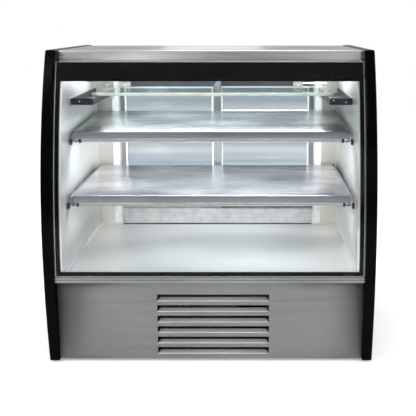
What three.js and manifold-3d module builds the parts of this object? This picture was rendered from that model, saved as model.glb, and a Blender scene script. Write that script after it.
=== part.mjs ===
// Refrigerated display showcase with a curved front glass, sliding rear doors and two lit shelves.
// Millimetres, +Z up, front towards -Y. Origin: centre of the footprint, on the floor.
import * as THREE from "three";
import { mergeVertices } from "three/addons/utils/BufferGeometryUtils.js";
import Module from "manifold-3d";

const wasm = await Module();
wasm.setup();

// ---------------------------------------------------------------- driving dimensions
const WIDTH = 1200;                 // over both end frames
const DEPTH = 800;                  // front bulge to rear face
const HEIGHT = 1150;                // floor to top of the end frames
const FRAME_T = 38;                 // thickness of an end frame
const GAP = 0.4;                    // clearance between pieces that touch
const FRONT = -DEPTH / 2;
const REAR = DEPTH / 2;
const FRAME_FOOT = 5;               // end frames stop this far above the floor
const BULGE_Z = 440;                // height of the foremost point of the end frames
const FRAME_TOP_Y = -240;           // front edge of an end frame at its top
const FRAME_FOOT_Y = -364;          // front edge of an end frame at its foot

const BODY_X = WIDTH / 2 - FRAME_T - GAP;    // half width between the end frames
const LINER_X = 536;                // inner face of the side liners
const TOP_Z = HEIGHT - 3;           // steel top, just below the end frames
const FASCIA_Y = -196;              // front face of the folded top fascia
const FASCIA_H = 37;
const CEILING_Z = 1046;             // underside of the canopy, behind the glass's black band

const GLASS_R = 2400;               // radius of the front glass's outer face
const GLASS_T = 6;
const GLASS_Z0 = 339;
const GLASS_Z1 = 1106;
const GLASS_FOOT_Y = -384;          // outer face at the lower edge
const GLASS_HEAD_Y = -250;          // outer face at the upper edge
const GLASS_X = 559;
const BORDER_W = 16;                // black border at the sides and bottom
const BORDER_TOP_Z = 1038;          // lower edge of the black header band
const BORDER_T = 1.6;
const HINGE_Y = -206;               // axis of the lift-up front glass
const HINGE_Z = 1100;

const DECK_Z = 340;                 // top of the display deck
const PILASTER_Y = 321;             // front face of the rear pilasters
const STANDARD_X = 452;             // centre of a slotted shelf standard
const DOOR_OPENING_X = 455;
const DOOR_EDGE_X = 446;            // outer edge of a closed door
const DOOR_OVERLAP = 17;            // how far a closed door passes the middle
const DOOR_Z0 = 402;
const DOOR_Z1 = 1024;
const DOOR_T = 16;
const DOOR_STILE = 34;
const FRONT_DOOR_Y = 332;           // front face of the inner (left) door
const REAR_DOOR_Y = 353;            // front face of the outer (right) door

const SHELF_X = 515;                // half width of a shelf
const SHELF_T = 3;
const SHELF_LIP = 28;               // height of the folded front edge
const SHELVES = {
  upper: { front: -188, rear: 290, frontZ: 842, rearZ: 866 },
  lower: { front: -262, rear: 290, frontZ: 612, rearZ: 622 },
};
const BRACKET_T = 7;
const TOP_SHELF = { x: 473, front: -60, rear: 290, z: 965, thick: 12 };

const PANEL_Y = -358;               // front face of the louvred base panel
const PANEL_T = 3;
const PANEL_Z0 = 12;
const PANEL_Z1 = 312;
const SILL_Z0 = 316;
const SILL_Z1 = 337;
const LOUVRES = 6;
const LOUVRE_W = 412;
const LOUVRE_H = 26;
const LOUVRE_PITCH = 41;
const LOUVRE_TOP_Z = 262;
const LOUVRE_X = 10;                // the louvres sit a little right of the middle

const WELL_Z = 232;                 // underside of the cold well
const FAN_Z = 119;                  // condenser fan axis
const FAN_X = -225;
const FAN_R = 92;
const CONTROL_Z = 1098;             // height of the thermostat and switches
const THERMOSTAT_X = 369;
const THERMOSTAT_HALF = 39;
const POWER_SWITCH_X = 443;
const LIGHT_SWITCH_X = 489;
const INLET_X = -430;               // power inlet in the rear service panel
const INLET = { half: 16, z0: 35, z1: 61 };

// ---------------------------------------------------------------- materials
const finish = (color, roughness, metalness) => ({ color, roughness, metalness });
const BLACK_GLOSS = finish(0x060607, 0.12, 0.0);
const BRUSHED = finish(0xb9bbbd, 0.32, 1.0);
const POLISHED = finish(0xd2d4d6, 0.14, 1.0);
const GREY_PAINT = finish(0x7d7e80, 0.45, 0.2);
const DARK_GREY = finish(0x3b3d40, 0.5, 0.2);
const WHITE_PAINT = finish(0xe6e8ea, 0.4, 0.0);
const CLEAR_GLASS = finish(0xdfeaec, 0.03, 0.0);
const DIFFUSER = finish(0xeef0e2, 0.35, 0.0);
const ALUMINIUM = finish(0xa9acb0, 0.35, 1.0);
const COPPER = finish(0xb56a3c, 0.35, 1.0);
const BLACK_PLASTIC = finish(0x161718, 0.55, 0.0);
const PUMP_BLACK = finish(0x1c1d20, 0.5, 0.3);

const model = new THREE.Group();

function add(name, geometry, look) {
  const mesh = new THREE.Mesh(geometry, new THREE.MeshStandardMaterial(look));
  mesh.name = name;
  model.add(mesh);
  return mesh;
}

// ---------------------------------------------------------------- geometry helpers
function box(x0, x1, y0, y1, z0, z1) {
  const g = new THREE.BoxGeometry(x1 - x0, y1 - y0, z1 - z0);
  return g.translate((x0 + x1) / 2, (y0 + y1) / 2, (z0 + z1) / 2);
}

function outline(points) {
  return new THREE.Shape(points.map(([a, b]) => new THREE.Vector2(a, b)));
}

// Outlines drawn in (Y, Z) and run along X, drawn in (X, Z) and run along Y, drawn in (X, Y) along Z.
const AXES = {
  x: new THREE.Matrix4().makeBasis(
    new THREE.Vector3(0, 1, 0), new THREE.Vector3(0, 0, 1), new THREE.Vector3(1, 0, 0)),
  y: new THREE.Matrix4().makeBasis(
    new THREE.Vector3(1, 0, 0), new THREE.Vector3(0, 0, 1), new THREE.Vector3(0, -1, 0)),
  z: new THREE.Matrix4(),
};

function prism(axis, shape, from, to, options = {}) {
  const g = new THREE.ExtrudeGeometry(shape, { depth: to - from, bevelEnabled: false, ...options });
  g.applyMatrix4(AXES[axis]);
  const start = { x: [from, 0, 0], y: [0, to, 0], z: [0, 0, from] }[axis];
  return g.translate(...start);
}

function cylinder(axis, radius, from, to, a, b, sides = 24) {
  const g = new THREE.CylinderGeometry(radius, radius, to - from, sides);
  const middle = (from + to) / 2;
  if (axis === "x") return g.rotateZ(Math.PI / 2).translate(middle, a, b);
  if (axis === "y") return g.translate(a, middle, b);
  return g.rotateX(Math.PI / 2).translate(a, b, middle);
}

function pipe(points, radius, steps) {
  const path = new THREE.CatmullRomCurve3(points.map((p) => new THREE.Vector3(...p)), false, "centripetal");
  const section = new THREE.Shape().absarc(0, 0, radius, 0, 2 * Math.PI);
  return new THREE.ExtrudeGeometry(section, { steps, curveSegments: 4, extrudePath: path });
}

function solid(geometry) {
  const g = geometry.clone();
  g.deleteAttribute("normal");
  g.deleteAttribute("uv");
  const merged = mergeVertices(g, 1e-4);
  const index = merged.index ? merged.index.array : [...Array(merged.attributes.position.count).keys()];
  return new wasm.Manifold(new wasm.Mesh({
    numProp: 3,
    vertProperties: new Float32Array(merged.attributes.position.array),
    triVerts: new Uint32Array(index),
  }));
}

function toGeometry(manifold) {
  const mesh = manifold.getMesh();
  const g = new THREE.BufferGeometry();
  g.setAttribute("position", new THREE.BufferAttribute(new Float32Array(mesh.vertProperties), 3));
  g.setIndex(new THREE.BufferAttribute(new Uint32Array(mesh.triVerts), 1));
  g.computeVertexNormals();
  return g;
}

const union = (...parts) => toGeometry(parts.map(solid).reduce((a, b) => a.add(b)));
const cut = (body, ...tools) => toGeometry(tools.map(solid).reduce((a, b) => a.subtract(b), solid(body)));

// Side profile arc through two (Y, Z) points, bowed forwards; returns its centre and radius.
function bow([y0, z0], [y1, z1], radius) {
  const half = Math.hypot(y1 - y0, z1 - z0) / 2;
  const reach = Math.sqrt(radius ** 2 - half ** 2) / (2 * half);
  return { y: (y0 + y1) / 2 + reach * (z1 - z0), z: (z0 + z1) / 2 - reach * (y1 - y0), radius };
}

// Points of such an arc between two heights, moved back by an offset.
function bowPoints(arc, z0, z1, offset, steps) {
  const radius = arc.radius - offset;
  const points = [];
  for (let i = 0; i <= steps; i += 1) {
    const z = z0 + ((z1 - z0) * i) / steps;
    points.push([arc.y - Math.sqrt(radius ** 2 - (z - arc.z) ** 2), z]);
  }
  return points;
}

const glassBow = bow([GLASS_FOOT_Y, GLASS_Z0], [GLASS_HEAD_Y, GLASS_Z1], GLASS_R);
const behindGlass = (offset, z0, z1, steps) => bowPoints(glassBow, z0, z1, offset, steps);

const bothSides = (make) => {
  make("left", -1);
  make("right", 1);
};

// A box given for the right-hand side, mirrored for the left.
function sideBox(side, x0, x1, y0, y1, z0, z1) {
  return side > 0 ? box(x0, x1, y0, y1, z0, z1) : box(-x1, -x0, y0, y1, z0, z1);
}

function sidePrism(axis, shape, side, x0, x1, options) {
  return side > 0 ? prism(axis, shape, x0, x1, options) : prism(axis, shape, -x1, -x0, options);
}

// ---------------------------------------------------------------- end frames and liners
function endFrames() {
  const EDGE_ROUND = 3;
  // Two arcs that meet upright at the bulge.
  const uprightRadius = (rise, recess) => (rise ** 2 + recess ** 2) / (2 * recess);
  const lowerR = uprightRadius(BULGE_Z - FRAME_FOOT, FRAME_FOOT_Y - FRONT);
  const upperR = uprightRadius(HEIGHT - BULGE_Z, FRAME_TOP_Y - FRONT);
  const lower = bow([FRAME_FOOT_Y, FRAME_FOOT], [FRONT, BULGE_Z], lowerR);
  const upper = bow([FRONT, BULGE_Z], [FRAME_TOP_Y, HEIGHT], upperR);
  const profile = outline([
    ...bowPoints(lower, FRAME_FOOT, BULGE_Z, 0, 9),
    ...bowPoints(upper, BULGE_Z, HEIGHT, 0, 13).slice(1),
    [REAR, HEIGHT],
    [REAR, FRAME_FOOT],
  ]);
  const rounded = {
    bevelEnabled: true,
    bevelThickness: EDGE_ROUND,
    bevelSize: EDGE_ROUND,
    bevelOffset: -EDGE_ROUND,
    bevelSegments: 2,
  };
  bothSides((name, side) => {
    const inner = WIDTH / 2 - FRAME_T + EDGE_ROUND;
    const outer = WIDTH / 2 - EDGE_ROUND;
    add(`${name}_end_frame`, sidePrism("x", profile, side, inner, outer, rounded), BLACK_GLOSS);
  });
}

function sideLiners() {
  const CLEAR_OF_GLASS = 11;
  const profile = outline([
    ...behindGlass(CLEAR_OF_GLASS, SILL_Z1 + GAP, CEILING_Z - GAP, 8),
    [PILASTER_Y - GAP, CEILING_Z - GAP],
    [PILASTER_Y - GAP, SILL_Z1 + GAP],
  ]);
  bothSides((name, side) => {
    add(`${name}_side_liner`, sidePrism("x", profile, side, LINER_X, BODY_X), POLISHED);
  });
}

// ---------------------------------------------------------------- canopy
function canopy() {
  const SHEET = 3;
  const REAR_FLANGE = 12;
  const BEND = 6;
  const back = REAR - 1;
  const top = outline([
    [FASCIA_Y, TOP_Z - FASCIA_H],
    [FASCIA_Y, TOP_Z - BEND],
    [FASCIA_Y + BEND * 0.3, TOP_Z - BEND * 0.3],
    [FASCIA_Y + BEND, TOP_Z],
    [back, TOP_Z],
    [back, TOP_Z - REAR_FLANGE],
    [back - SHEET, TOP_Z - REAR_FLANGE],
    [back - SHEET, TOP_Z - SHEET],
    [FASCIA_Y + SHEET, TOP_Z - SHEET],
    [FASCIA_Y + SHEET, TOP_Z - FASCIA_H],
  ]);
  add("top_panel", prism("x", top, -BODY_X, BODY_X), BRUSHED);
  const underTop = TOP_Z - SHEET - GAP;
  const ceilingFront = FASCIA_Y + SHEET + GAP;
  const ceiling = box(-BODY_X, BODY_X, ceilingFront, PILASTER_Y + 6, CEILING_Z, underTop);
  add("canopy_ceiling", ceiling, WHITE_PAINT);

  const LAMP_X = 470;
  const LAMP_Y0 = -150;
  const LAMP_Y1 = -116;
  const LAMP_SLANT = 8;
  const LAMP_H = 18;
  const lampTop = CEILING_Z - GAP;
  const lamp = outline([
    [LAMP_Y0, lampTop],
    [LAMP_Y0, lampTop - LAMP_SLANT],
    [LAMP_Y0 + LAMP_SLANT, lampTop - LAMP_H],
    [LAMP_Y1 - LAMP_SLANT, lampTop - LAMP_H],
    [LAMP_Y1, lampTop - LAMP_SLANT],
    [LAMP_Y1, lampTop],
  ]);
  add("canopy_light", prism("x", lamp, -LAMP_X, LAMP_X), DIFFUSER);
}

// ---------------------------------------------------------------- lift-up front glass
function frontGlass() {
  const pane = outline([
    ...behindGlass(0, GLASS_Z0, GLASS_Z1, 10),
    ...behindGlass(GLASS_T, GLASS_Z0, GLASS_Z1, 10).reverse(),
  ]);
  add("front_glass", prism("x", pane, -GLASS_X, GLASS_X), CLEAR_GLASS);

  const printed = outline([
    ...behindGlass(GLASS_T + GAP, GLASS_Z0, GLASS_Z1, 10),
    ...behindGlass(GLASS_T + GAP + BORDER_T, GLASS_Z0, GLASS_Z1, 10).reverse(),
  ]);
  const inside = GLASS_X - BORDER_W;
  const window = box(-inside, inside, FRONT, HINGE_Y, GLASS_Z0 + BORDER_W, BORDER_TOP_Z);
  add("glass_border", cut(prism("x", printed, -GLASS_X, GLASS_X), window), BLACK_GLOSS);

  const RAIL_HALF = 6;
  const RAIL_FLAT = 2;
  const RAIL_X = 548;
  const BORE_R = 4;
  const railFront = GLASS_T + BORDER_T + 2 * GAP;
  const rail = outline([
    ...behindGlass(railFront, HINGE_Z - RAIL_HALF, HINGE_Z + RAIL_HALF, 2),
    [HINGE_Y + RAIL_FLAT, HINGE_Z + RAIL_HALF],
    [HINGE_Y + RAIL_HALF, HINGE_Z + RAIL_FLAT],
    [HINGE_Y + RAIL_HALF, HINGE_Z - RAIL_FLAT],
    [HINGE_Y + RAIL_FLAT, HINGE_Z - RAIL_HALF],
  ]);
  const bore = cylinder("x", BORE_R, -WIDTH / 2, WIDTH / 2, HINGE_Y, HINGE_Z, 16);
  add("glass_top_rail", cut(prism("x", rail, -RAIL_X, RAIL_X), bore), BLACK_PLASTIC);
  add("glass_hinge_rod", cylinder("x", BORE_R - 0.5, -BODY_X, BODY_X, HINGE_Y, HINGE_Z, 16), ALUMINIUM);
}

// ---------------------------------------------------------------- sill, base panel, base tray
function frontSill() {
  const GROOVE = 1.5;
  const CHAMFER = 2;
  const mid = (SILL_Z0 + SILL_Z1) / 2;
  const face = GLASS_FOOT_Y;
  const back = PANEL_Y + 26;
  const sill = outline([
    [face, SILL_Z0],
    [face, mid - GROOVE],
    [face + GROOVE, mid],
    [face, mid + GROOVE],
    [face, SILL_Z1 - CHAMFER],
    [face + CHAMFER, SILL_Z1],
    [back, SILL_Z1],
    [back, SILL_Z0],
  ]);
  add("front_sill", prism("x", sill, -BODY_X, BODY_X), ALUMINIUM);
}

// Sheet with louvre openings, each closed by a slanted vane between two cheeks.
function basePanel() {
  const RETURN_DEEP = 22;
  const VANE_T = 1.6;
  const VANE_DEEP = 15;
  const VANE_DROP = 4;
  const CHEEK_T = 2;
  const foldTop = PANEL_Z1 - PANEL_T;
  const sheet = box(-BODY_X, BODY_X, PANEL_Y, PANEL_Y + PANEL_T, PANEL_Z0, PANEL_Z1);
  const returnTop = box(-BODY_X, BODY_X, PANEL_Y, PANEL_Y + RETURN_DEEP, foldTop, PANEL_Z1);
  const left = LOUVRE_X - LOUVRE_W / 2;
  const right = LOUVRE_X + LOUVRE_W / 2;
  const vaneFace = PANEL_Y + 0.5;
  const cheekBack = PANEL_Y + VANE_DEEP + 2;
  const slots = [];
  const vanes = [];
  for (let row = 0; row < LOUVRES; row += 1) {
    const top = LOUVRE_TOP_Z - row * LOUVRE_PITCH;
    const bottom = top - LOUVRE_H;
    slots.push(box(left, right, PANEL_Y - 5, PANEL_Y + PANEL_T + 5, bottom, top));
    const vane = outline([
      [vaneFace, bottom - 1],
      [vaneFace + VANE_T, bottom - 1],
      [PANEL_Y + VANE_DEEP + VANE_T, top - VANE_DROP],
      [PANEL_Y + VANE_DEEP, top - VANE_DROP],
    ]);
    vanes.push(prism("x", vane, left - CHEEK_T, right + CHEEK_T));
    vanes.push(box(left - CHEEK_T, left, vaneFace, cheekBack, bottom - 1, top - 2));
    vanes.push(box(right, right + CHEEK_T, vaneFace, cheekBack, bottom - 1, top - 2));
  }
  const slotted = slots.map(solid).reduce((a, b) => a.subtract(b), solid(sheet).add(solid(returnTop)));
  const pressed = vanes.map(solid).reduce((a, b) => a.add(b), slotted);
  add("front_base_panel", toGeometry(pressed), GREY_PAINT);
}

function baseTray() {
  const TRAY_T = 2;
  const TRAY_Z = 8;
  const TRAY_H = 22;
  const front = PANEL_Y + 24;
  const back = REAR - 12;
  const tray = box(-BODY_X, BODY_X, front, back, TRAY_Z, TRAY_Z + TRAY_H);
  const hollowX = BODY_X - TRAY_T;
  const hollow = box(-hollowX, hollowX, front + TRAY_T, back - TRAY_T, TRAY_Z + TRAY_T, 60);
  add("base_tray", cut(tray, hollow), DARK_GREY);

  const GLIDE_R = 24;
  const GLIDE_IN = 60;
  for (const [row, y] of [["front", PANEL_Y + 55], ["rear", REAR - GLIDE_IN]]) {
    bothSides((name, side) => {
      const glide = cylinder("z", GLIDE_R, 0, TRAY_Z - GAP, side * (BODY_X - GLIDE_IN), y, 20);
      add(`${row}_${name}_glide`, glide, BLACK_PLASTIC);
    });
  }
}

function rearServicePanel() {
  const VENT_ROWS = 7;
  const VENT_PITCH = 26;
  const VENT_H = 10;
  const VENT_HALF = 100;
  const VENT_X = 270;
  const VENT_Z0 = 50;
  const sheet = box(-BODY_X, BODY_X, REAR - 6, REAR - 3, PANEL_Z0, DECK_Z + 2);
  const vents = [];
  for (let row = 0; row < VENT_ROWS; row += 1) {
    const z = VENT_Z0 + row * VENT_PITCH;
    for (const x of [-VENT_X, 0, VENT_X]) {
      vents.push(box(x - VENT_HALF, x + VENT_HALF, REAR - 20, REAR + 5, z, z + VENT_H));
    }
  }
  const inlet = INLET.half + 1;
  const inletHole = box(INLET_X - inlet, INLET_X + inlet, REAR - 20, REAR + 5, INLET.z0 - 1, INLET.z1 + 1);
  add("rear_service_panel", cut(sheet, ...vents, inletHole), GREY_PAINT);
}

// ---------------------------------------------------------------- deck and cold well
function deckPan() {
  const DECK_X = LINER_X - GAP;
  const LEDGE_W = 12;
  const LEDGE_H = 10;
  const LIP_H = 14;
  const LIP_T = 3;
  const LIP_FOOT = 9;
  const front = GLASS_FOOT_Y + 13;
  const rear = PILASTER_Y - GAP;
  const under = SILL_Z1 + GAP;
  const plate = box(-DECK_X, DECK_X, front, rear, under, DECK_Z);
  const lip = prism("x", outline([
    [front, under],
    [front, DECK_Z + LIP_H],
    [front + LIP_T, DECK_Z + LIP_H],
    [front + LIP_FOOT, DECK_Z],
    [front + LIP_FOOT, under],
  ]), -DECK_X, DECK_X);
  const ledges = [-1, 1].map((side) =>
    sideBox(side, DECK_X - LEDGE_W, DECK_X, front, rear, under, DECK_Z + LEDGE_H));
  add("deck_pan", union(plate, lip, ...ledges), POLISHED);
}

// Insulated tub under the deck, with a drain spout.
function coldWell() {
  const WALL = 18;
  const LEDGE_X = 428;
  const LEDGE_Z0 = 318;
  const SPOUT = { x: 380, y: 120, z0: 150, radius: 15, bore: 11 };
  const x = BODY_X - 6;
  const front = PANEL_Y + 32;
  const rear = PILASTER_Y - GAP;
  const top = SILL_Z1 - 0.2;
  const floor = WELL_Z + WALL;
  const well = box(-x, x, front, rear, WELL_Z, top);
  const rearLedge = box(-LEDGE_X, LEDGE_X, rear - 10, REAR - 14, LEDGE_Z0, top);
  const room = box(-x + WALL, x - WALL, front + WALL, rear - WALL, floor, 400);
  const spout = cylinder("z", SPOUT.radius, SPOUT.z0, WELL_Z + 4, SPOUT.x, SPOUT.y, 16);
  const bore = cylinder("z", SPOUT.bore, SPOUT.z0 - 10, floor + 50, SPOUT.x, SPOUT.y, 16);
  add("cold_well", cut(union(well, rearLedge, spout), room, bore), DARK_GREY);
}

// Finned coil lying in the well, with the fan and its motor beside it.
function evaporator() {
  const FIN_PITCH = 22;
  const FIN_HALF = 0.8;
  const COIL = { x0: -80, x1: 360, y0: -60, y1: 120, z0: 254, z1: 316 };
  const ROW_Z0 = 280;
  const ROW_Z1 = 290;
  const fins = [];
  for (let x = COIL.x0; x <= COIL.x1; x += FIN_PITCH) {
    fins.push(box(x - FIN_HALF, x + FIN_HALF, COIL.y0, COIL.y1, COIL.z0, COIL.z1));
  }
  const rows = [COIL.y0 + 30, COIL.y1 - 30].map((y) =>
    box(COIL.x0 - 8, COIL.x1 + 8, y - 5, y + 5, ROW_Z0, ROW_Z1));
  add("evaporator_coil", union(...fins, ...rows), ALUMINIUM);

  const FLOOR = 250.5;
  const AXIS_Y = 30;
  const AXIS_Z = 288;
  const STAND_X = -146;
  add("evaporator_fan_motor", union(
    cylinder("x", 26, -150, -112, AXIS_Y, AXIS_Z, 20),
    box(STAND_X, STAND_X + 6, AXIS_Y - 80, AXIS_Y + 80, FLOOR, FLOOR + 11.5),
    box(STAND_X, STAND_X + 6, AXIS_Y - 6, AXIS_Y + 6, FLOOR, AXIS_Z),
  ), BLACK_PLASTIC);
  const rotor = fan(5, 12, 34, 12, 17).rotateY(Math.PI / 2).translate(-168, AXIS_Y, AXIS_Z);
  add("evaporator_fan", rotor, BLACK_PLASTIC);
}

// Open pan on the base tray that catches the melt water below the spout.
function drainTray() {
  const WALL = 3;
  const [x0, x1, y0, y1] = [300, 470, 40, 220];
  const Z0 = 31;
  const pan = box(x0, x1, y0, y1, Z0, 66);
  const hollow = box(x0 + WALL, x1 - WALL, y0 + WALL, y1 - WALL, Z0 + WALL, 90);
  add("drain_tray", cut(pan, hollow), BLACK_PLASTIC);
}

// Axial fan about +Z: hub, twisted blades out to the tip radius, and a shaft of the given reach.
function fan(blades, hubR, reach, thick, shaft) {
  const SHAFT_R = 4;
  const parts = [
    new THREE.CylinderGeometry(hubR, hubR, thick, 20).rotateX(Math.PI / 2),
    cylinder("z", SHAFT_R, 0, shaft, 0, 0, 12),
  ];
  for (let i = 0; i < blades; i += 1) {
    const blade = new THREE.BoxGeometry(reach - hubR * 0.6, hubR * 1.1, 1.6);
    blade.rotateX(0.45).translate((reach + hubR * 0.6) / 2, 0, 0).rotateZ((2 * Math.PI * i) / blades);
    parts.push(blade);
  }
  return union(...parts);
}

// ---------------------------------------------------------------- condensing unit
const UNIT_FLOOR = 10.5;

function compressor() {
  const X = 150;
  const Y = 130;
  const MOUNT_X = 78;
  const MOUNT_Y = 58;
  const can = new THREE.LatheGeometry([
    [0, 0], [62, 0], [70, 12], [74, 40], [74, 95], [66, 128], [44, 150], [0, 158],
  ].map(([r, z]) => new THREE.Vector2(r, z)), 28);
  can.rotateX(Math.PI / 2).translate(X, Y, UNIT_FLOOR + 14);
  const feet = box(X - 90, X + 90, Y - 70, Y + 70, UNIT_FLOOR, UNIT_FLOOR + 4);
  const corners = [[-1, -1], [1, -1], [-1, 1], [1, 1]];
  const mounts = corners.map(([a, b]) =>
    cylinder("z", 8, UNIT_FLOOR, UNIT_FLOOR + 22, X + a * MOUNT_X, Y + b * MOUNT_Y, 12));
  const cradle = box(X - 84, X + 84, Y - 64, Y + 64, UNIT_FLOOR + 12, UNIT_FLOOR + 18);
  add("compressor", union(can, feet, cradle, ...mounts), PUMP_BLACK);
}

// Finned coil behind the louvres, and the fan that draws air through it.
function condenser() {
  const COIL_TOP = WELL_Z - 6;
  const FIN_PITCH = 11;
  const FIN_HALF = 0.6;
  const FIN_REACH = 121;
  const PLATE_X = 130;
  const fins = [];
  for (let x = FAN_X - FIN_REACH; x <= FAN_X + FIN_REACH; x += FIN_PITCH) {
    fins.push(box(x - FIN_HALF, x + FIN_HALF, -300, -256, 20, COIL_TOP - 4));
  }
  const rows = [70, 170].map((z) =>
    box(FAN_X - PLATE_X - 1, FAN_X + PLATE_X + 1, -283, -273, z, z + 10));
  const plates = [-1, 1].map((side) => {
    const x = FAN_X + side * PLATE_X;
    return box(x - 2, x + 2, -304, -252, UNIT_FLOOR, COIL_TOP);
  });
  add("condenser_coil", union(...fins, ...rows, ...plates), ALUMINIUM);

  const SHROUD_X = 128;
  const SHROUD_T = 2;
  const shroud = box(FAN_X - SHROUD_X, FAN_X + SHROUD_X, -248, -206, UNIT_FLOOR, COIL_TOP);
  const roomX = SHROUD_X - SHROUD_T;
  const room = box(FAN_X - roomX, FAN_X + roomX, -260, -208, UNIT_FLOOR + SHROUD_T, COIL_TOP - SHROUD_T);
  const ring = cylinder("y", FAN_R + 8, -260, -200, FAN_X, FAN_Z, 32);
  add("condenser_fan_shroud", cut(shroud, room, ring), DARK_GREY);
  const rotor = fan(5, 26, FAN_R - 2, 16, 17).rotateX(-Math.PI / 2).translate(FAN_X, -222, FAN_Z);
  add("condenser_fan", rotor, ALUMINIUM);
  add("condenser_fan_motor", union(
    cylinder("y", 40, -204, -120, FAN_X, FAN_Z, 24),
    box(FAN_X - 12, FAN_X + 12, -180, -140, UNIT_FLOOR, FAN_Z),
    box(FAN_X - 60, FAN_X + 60, -185, -135, UNIT_FLOOR, UNIT_FLOOR + 4),
  ), PUMP_BLACK);
}

function suctionPipe() {
  const PIPE_R = 5;
  const route = [
    [228, 130, 120], [262, 130, 128], [276, 110, 160], [276, 60, 196], [276, 40, 216], [276, 32, 226],
  ];
  add("suction_pipe", pipe(route, PIPE_R, 16), COPPER);
}

// ---------------------------------------------------------------- rear frame and sliding doors
function rearPosts() {
  const FOLD_X = 430;
  const FOLD_T = 7;
  const STRIP_HALF = 14;
  const STRIP_T = 6;
  const SLOTS = 20;
  const SLOT_PITCH = 32;
  const SLOT_H = 18;
  const SLOT_HALF = 2;
  const SLOT_SHIFT = 6;
  const back = REAR - 6.5;
  const jamb = DOOR_OPENING_X + 1;
  bothSides((name, side) => {
    const section = outline([
      [FOLD_X, PILASTER_Y],
      [BODY_X, PILASTER_Y],
      [BODY_X, back],
      [jamb, back],
      [jamb, PILASTER_Y + FOLD_T],
      [FOLD_X, PILASTER_Y + FOLD_T],
    ].map(([x, y]) => [side * x, y]));
    add(`${name}_rear_pilaster`, prism("z", section, 31, CEILING_Z - GAP), BRUSHED);

    const stripX = [STANDARD_X - STRIP_HALF, STANDARD_X + STRIP_HALF];
    const strip = sideBox(side, ...stripX, PILASTER_Y - STRIP_T, PILASTER_Y - GAP, 350, 1036);
    const slots = [];
    for (let i = 0; i < SLOTS; i += 1) {
      const z = 372 + i * SLOT_PITCH;
      const x = STANDARD_X + (i % 2 ? SLOT_SHIFT : -SLOT_SHIFT);
      const slotX = [x - SLOT_HALF, x + SLOT_HALF];
      slots.push(sideBox(side, ...slotX, PILASTER_Y - 20, PILASTER_Y + 2, z, z + SLOT_H));
    }
    add(`${name}_shelf_standard`, cut(strip, ...slots), WHITE_PAINT);
  });
}

// Double tracks above and below, each with one groove for the inner and one for the outer door.
function doorTracks() {
  const TRACK_Y0 = PILASTER_Y + 8;
  const TRACK_Y1 = REAR - 14;
  const SIDE_GAP = 1.5;
  const RIB_H = 7;
  const RIB_DEEP = 3;
  const pastEnds = DOOR_OPENING_X + 5;
  const grooves = (z0, z1) => [FRONT_DOOR_Y, REAR_DOOR_Y].map((y) =>
    box(-pastEnds, pastEnds, y - SIDE_GAP, y + DOOR_T + SIDE_GAP, z0, z1));
  const track = (z0, z1) => box(-DOOR_OPENING_X, DOOR_OPENING_X, TRACK_Y0, TRACK_Y1, z0, z1);
  const ribs = [352, 370, 388].map((z) =>
    box(-pastEnds, pastEnds, TRACK_Y0 - 5, TRACK_Y0 + RIB_DEEP, z, z + RIB_H));
  const lower = cut(track(DECK_Z + 3, DOOR_Z0 + 10), ...grooves(DOOR_Z0 - 1, 500), ...ribs);
  add("door_track_bottom", lower, ALUMINIUM);
  const upper = cut(track(DOOR_Z1 - 10, CEILING_Z - GAP), ...grooves(900, DOOR_Z1 + 4));
  add("door_track_top", upper, ALUMINIUM);
}

function rearHeader() {
  const SHEET = 3;
  const front = PILASTER_Y + 8;
  const face = REAR - 6;
  const top = TOP_Z - 4;
  const header = outline([
    [front, CEILING_Z],
    [face, CEILING_Z],
    [face, top],
    [face - SHEET, top],
    [face - SHEET, CEILING_Z + SHEET],
    [front, CEILING_Z + SHEET],
  ]);
  const opening = (x, halfX, halfZ) =>
    box(x - halfX, x + halfX, REAR - 20, REAR, CONTROL_Z - halfZ, CONTROL_Z + halfZ);
  const openings = [
    opening(THERMOSTAT_X, THERMOSTAT_HALF, 16),
    opening(POWER_SWITCH_X, 13, 13),
    opening(LIGHT_SWITCH_X, 13, 13),
  ];
  add("rear_header", cut(prism("x", header, -BODY_X, BODY_X), ...openings), BRUSHED);
}

function slidingDoor(name, x0, x1, y) {
  const BOTTOM_RAIL = 46;
  const PANE_SET = 5;
  const PANE_T = 6;
  const frame = box(x0, x1, y, y + DOOR_T, DOOR_Z0, DOOR_Z1);
  const inner = [x0 + DOOR_STILE, x1 - DOOR_STILE];
  const railTop = DOOR_Z1 - DOOR_STILE;
  const railBottom = DOOR_Z0 + BOTTOM_RAIL;
  const hole = box(inner[0], inner[1], y - 5, y + DOOR_T + 5, railBottom, railTop);
  add(`${name}_door_frame`, cut(frame, hole), DARK_GREY);
  const paneX = [inner[0] + GAP, inner[1] - GAP];
  const paneFront = y + PANE_SET;
  const pane = box(...paneX, paneFront, paneFront + PANE_T, railBottom + GAP, railTop - GAP);
  add(`${name}_door_glass`, pane, CLEAR_GLASS);
  // Recessed pull: a thin channel on the rear face of the outer stile.
  const PULL_Z = 700;
  const PULL_T = 3.2;
  const pullX = name === "left" ? x0 + DOOR_STILE / 2 : x1 - DOOR_STILE / 2;
  const rearFace = y + DOOR_T + GAP;
  const grip = box(pullX - 10, pullX + 10, rearFace, rearFace + PULL_T, PULL_Z - 60, PULL_Z + 60);
  const finger = box(pullX - 6, pullX + 6, rearFace + 1.2, rearFace + 10, PULL_Z - 54, PULL_Z + 54);
  add(`${name}_door_pull`, cut(grip, finger), BLACK_PLASTIC);
}

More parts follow.
